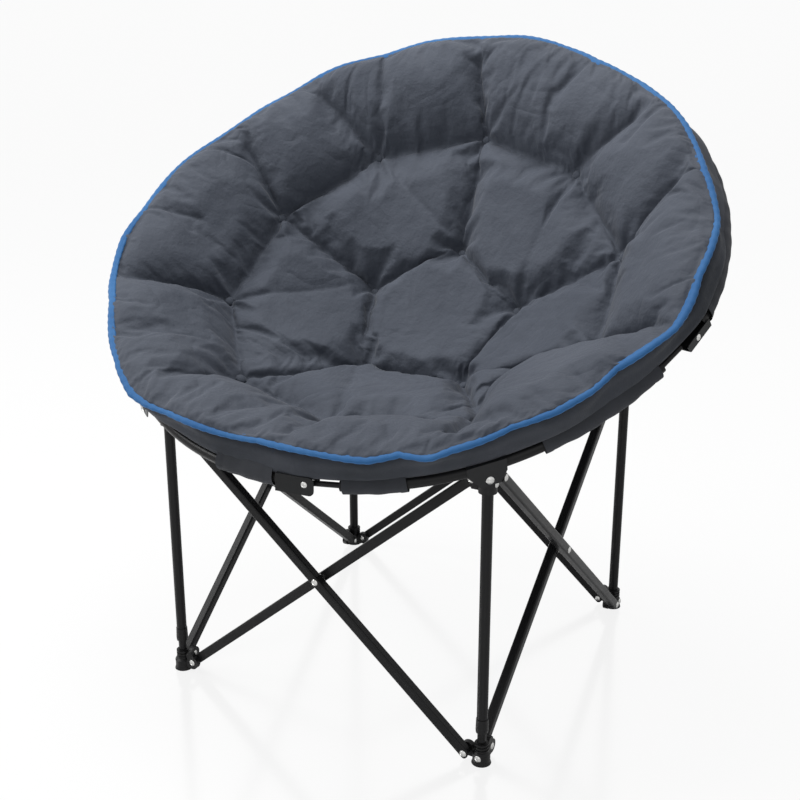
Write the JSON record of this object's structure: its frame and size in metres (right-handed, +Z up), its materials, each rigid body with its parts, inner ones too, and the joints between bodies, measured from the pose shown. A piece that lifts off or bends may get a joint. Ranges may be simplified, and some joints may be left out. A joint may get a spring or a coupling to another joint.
{
  "type": "folding saucer chair",
  "caption": "Folding saucer chair: a round tufted seat in a four-piece hinged tube ring, on four posts joined by scissor bars.",
  "frame": {"origin": "on the ground, under the centre of the open chair's box", "axes": "+Z up, -Y the open front of the seat, +X to the sitter's left when seated and the viewer's right from the front"},
  "size_m": [0.9878, 0.7742, 0.9767],
  "materials": {
    "pad_cloth": "woven polyester, matt",
    "binding": "woven tape, slight sheen",
    "button_cloth": "woven polyester, matt",
    "sling_cloth": "plain weave, matt",
    "sleeve_cloth": "plain weave, matt",
    "rivet_steel": "plated, satin",
    "black_plastic": "moulded, fine texture",
    "black_bracket": "powder coat, satin",
    "black_enamel": "powder coat, satin"
  },
  "bodies": {
    "foot_fl": {"foot_hub_fl": "black_plastic", "foot_rivets_fl": "rivet_steel", "inner_tube_fl": "black_enamel"},
    "foot_fr": {"foot_hub_fr": "black_plastic", "foot_rivets_fr": "rivet_steel", "inner_tube_fr": "black_enamel"},
    "foot_rr": {"foot_hub_rr": "black_plastic", "foot_rivets_rr": "rivet_steel", "rear_upright_rr": "black_enamel", "ring_clamp_rr": "black_bracket"},
    "foot_rl": {"foot_hub_rl": "black_plastic", "foot_rivets_rl": "rivet_steel", "rear_upright_rl": "black_enamel", "ring_clamp_rl": "black_bracket"},
    "top_fr": {"top_hub_fr": "black_plastic", "top_rivets_fr": "rivet_steel", "outer_tube_fr": "black_enamel", "tube_collar_fr": "black_plastic"},
    "top_fl": {"top_hub_fl": "black_plastic", "top_rivets_fl": "rivet_steel", "outer_tube_fl": "black_enamel", "tube_collar_fl": "black_plastic"},
    "top_rr": {"top_hub_rr": "black_plastic", "top_rivets_rr": "rivet_steel"},
    "top_rl": {"top_hub_rl": "black_plastic", "top_rivets_rl": "rivet_steel"},
    "front_inner_bar": {"front_inner_bar": "black_enamel"},
    "front_outer_bar": {"front_outer_bar": "black_enamel"},
    "front_crossing": {"front_crossing_rivet": "rivet_steel"},
    "right_inner_bar": {"right_inner_bar": "black_enamel", "right_crossing_rivet": "rivet_steel"},
    "right_outer_bar": {"right_outer_bar": "black_enamel"},
    "left_outer_bar": {"left_outer_bar": "black_enamel", "left_crossing_rivet": "rivet_steel"},
    "left_inner_bar": {"left_inner_bar": "black_enamel"},
    "rear_outer_bar": {"rear_outer_bar": "black_enamel", "rear_crossing_rivet": "rivet_steel"},
    "rear_inner_bar": {"rear_inner_bar": "black_enamel"},
    "ring_fr": {"ring_arc_fr": "black_enamel", "ring_saddle_fr": "black_bracket", "ring_rivets_fr": "rivet_steel", "ring_sleeves_fr": "sleeve_cloth"},
    "ring_fl": {"ring_arc_fl": "black_enamel", "ring_saddle_fl": "black_bracket", "ring_rivets_fl": "rivet_steel", "ring_sleeves_fl": "sleeve_cloth", "ring_hinge_front": "black_bracket"},
    "ring_rr": {"ring_arc_rr": "black_enamel", "ring_rivets_rr": "rivet_steel", "ring_sleeves_rr": "sleeve_cloth", "ring_hinge_right": "black_bracket"},
    "ring_rl": {"ring_arc_rl": "black_enamel", "ring_rivets_rl": "rivet_steel", "ring_sleeves_rl": "sleeve_cloth", "ring_hinge_left": "black_bracket", "ring_hinge_rear": "black_bracket"},
    "seat": {"seat_cushion": "pad_cloth", "seat_rim_piping": "binding", "seat_buttons": "button_cloth", "seat_sling": "sling_cloth"}
  },
  "joints": [
    {"name": "frame_fold", "type": "hinge", "parent": "foot_fl", "child": "front_inner_bar", "pos_m": [-0.248, -0.23914, 0.016], "axis": [0, -1, 0], "range_deg": [0, 35.2], "deforming": ["seat_cushion", "seat_rim_piping", "seat_buttons", "seat_sling"]},
    {"name": "front_scissor", "type": "hinge", "parent": "front_inner_bar", "child": "front_outer_bar", "pos_m": [0, -0.24814, 0.228], "axis": [0, -1, 0], "range_deg": [-70.45, 0]},
    {"name": "front_crossing_level", "type": "hinge", "parent": "front_inner_bar", "child": "front_crossing", "pos_m": [0, -0.24814, 0.228], "axis": [0, -1, 0], "range_deg": [-35.25, 0]},
    {"name": "foot_fr_pivot", "type": "hinge", "parent": "front_outer_bar", "child": "foot_fr", "pos_m": [0.248, -0.25714, 0.016], "axis": [0, -1, 0], "range_deg": [0, 35.25]},
    {"name": "top_fl_pivot", "type": "hinge", "parent": "front_outer_bar", "child": "top_fl", "pos_m": [-0.248, -0.25714, 0.44], "axis": [0, -1, 0], "range_deg": [0, 35.25]},
    {"name": "top_fr_pivot", "type": "hinge", "parent": "front_inner_bar", "child": "top_fr", "pos_m": [0.248, -0.23914, 0.44], "axis": [0, -1, 0], "range_deg": [-35.25, 0]},
    {"name": "right_inner_pivot", "type": "hinge", "parent": "foot_fr", "child": "right_inner_bar", "pos_m": [0.261, -0.22614, 0.016], "axis": [1, 0, 0], "range_deg": [0, 35.25]},
    {"name": "right_scissor", "type": "hinge", "parent": "right_inner_bar", "child": "right_outer_bar", "pos_m": [0.27, 0.02186, 0.228], "axis": [1, 0, 0], "range_deg": [-70.45, 0]},
    {"name": "foot_rr_pivot", "type": "hinge", "parent": "right_outer_bar", "child": "foot_rr", "pos_m": [0.279, 0.26986, 0.016], "axis": [1, 0, 0], "range_deg": [0, 35.25]},
    {"name": "top_rr_pivot", "type": "hinge", "parent": "right_inner_bar", "child": "top_rr", "pos_m": [0.261, 0.26986, 0.44], "axis": [1, 0, 0], "range_deg": [-35.25, 0]},
    {"name": "left_outer_pivot", "type": "hinge", "parent": "foot_fl", "child": "left_outer_bar", "pos_m": [-0.279, -0.22614, 0.016], "axis": [1, 0, 0], "range_deg": [0, 35.25]},
    {"name": "left_scissor", "type": "hinge", "parent": "left_outer_bar", "child": "left_inner_bar", "pos_m": [-0.27, 0.02186, 0.228], "axis": [1, 0, 0], "range_deg": [-70.45, 0]},
    {"name": "foot_rl_pivot", "type": "hinge", "parent": "left_inner_bar", "child": "foot_rl", "pos_m": [-0.261, 0.26986, 0.016], "axis": [1, 0, 0], "range_deg": [0, 35.25]},
    {"name": "top_rl_pivot", "type": "hinge", "parent": "left_outer_bar", "child": "top_rl", "pos_m": [-0.279, 0.26986, 0.44], "axis": [1, 0, 0], "range_deg": [-35.25, 0]},
    {"name": "rear_outer_pivot", "type": "hinge", "parent": "foot_rl", "child": "rear_outer_bar", "pos_m": [-0.248, 0.30086, 0.016], "axis": [0, -1, 0], "range_deg": [0, 35.25]},
    {"name": "rear_scissor", "type": "hinge", "parent": "rear_outer_bar", "child": "rear_inner_bar", "pos_m": [0, 0.29186, 0.228], "axis": [0, -1, 0], "range_deg": [-70.45, 0]},
    {"name": "ring_fr_pin", "type": "hinge", "parent": "top_fr", "child": "ring_fr", "pos_m": [0.276, -0.26814, 0.461], "axis": [0.6706, -0.7191, -0.1822], "range_deg": [-85.94, 0]},
    {"name": "ring_fl_pin", "type": "hinge", "parent": "top_fl", "child": "ring_fl", "pos_m": [-0.276, -0.26814, 0.461], "axis": [0.6706, 0.7191, 0.1822], "range_deg": [-85.94, 0]},
    {"name": "ring_rr_pin", "type": "hinge", "parent": "foot_rr", "child": "ring_rr", "pos_m": [0.284, 0.31386, 0.872], "axis": [0.4209, 0.6481, 0.6347], "range_deg": [0, 71.79]},
    {"name": "ring_rl_pin", "type": "hinge", "parent": "foot_rl", "child": "ring_rl", "pos_m": [-0.284, 0.31386, 0.872], "axis": [0.4209, -0.6481, -0.6347], "range_deg": [0, 71.79]},
    {"name": "seat_fold", "type": "hinge", "parent": "front_crossing", "child": "seat", "pos_m": [0, 0.00476, 0.44127], "axis": [1, 0, 0], "range_deg": [0, 46.05]}
  ],
  "couplings": [
    {"joint": "front_scissor", "follows": "frame_fold", "ratio": -2},
    {"joint": "front_crossing_level", "follows": "frame_fold", "ratio": -1},
    {"joint": "foot_fr_pivot", "follows": "frame_fold", "ratio": 1},
    {"joint": "top_fl_pivot", "follows": "frame_fold", "ratio": 1},
    {"joint": "top_fr_pivot", "follows": "frame_fold", "ratio": -1},
    {"joint": "right_inner_pivot", "follows": "frame_fold", "ratio": 1},
    {"joint": "right_scissor", "follows": "frame_fold", "ratio": -2},
    {"joint": "foot_rr_pivot", "follows": "frame_fold", "ratio": 1},
    {"joint": "top_rr_pivot", "follows": "frame_fold", "ratio": -1},
    {"joint": "left_outer_pivot", "follows": "frame_fold", "ratio": 1},
    {"joint": "left_scissor", "follows": "frame_fold", "ratio": -2},
    {"joint": "foot_rl_pivot", "follows": "frame_fold", "ratio": 1},
    {"joint": "top_rl_pivot", "follows": "frame_fold", "ratio": -1},
    {"joint": "rear_outer_pivot", "follows": "frame_fold", "ratio": 1},
    {"joint": "rear_scissor", "follows": "frame_fold", "ratio": -2},
    {"joint": "ring_fr_pin", "follows": "frame_fold", "ratio": -2.44},
    {"joint": "ring_fl_pin", "follows": "frame_fold", "ratio": -2.44},
    {"joint": "ring_rr_pin", "follows": "frame_fold", "ratio": 2.038},
    {"joint": "ring_rl_pin", "follows": "frame_fold", "ratio": 2.038},
    {"joint": "seat_fold", "follows": "frame_fold", "ratio": 1.3068}
  ]
}
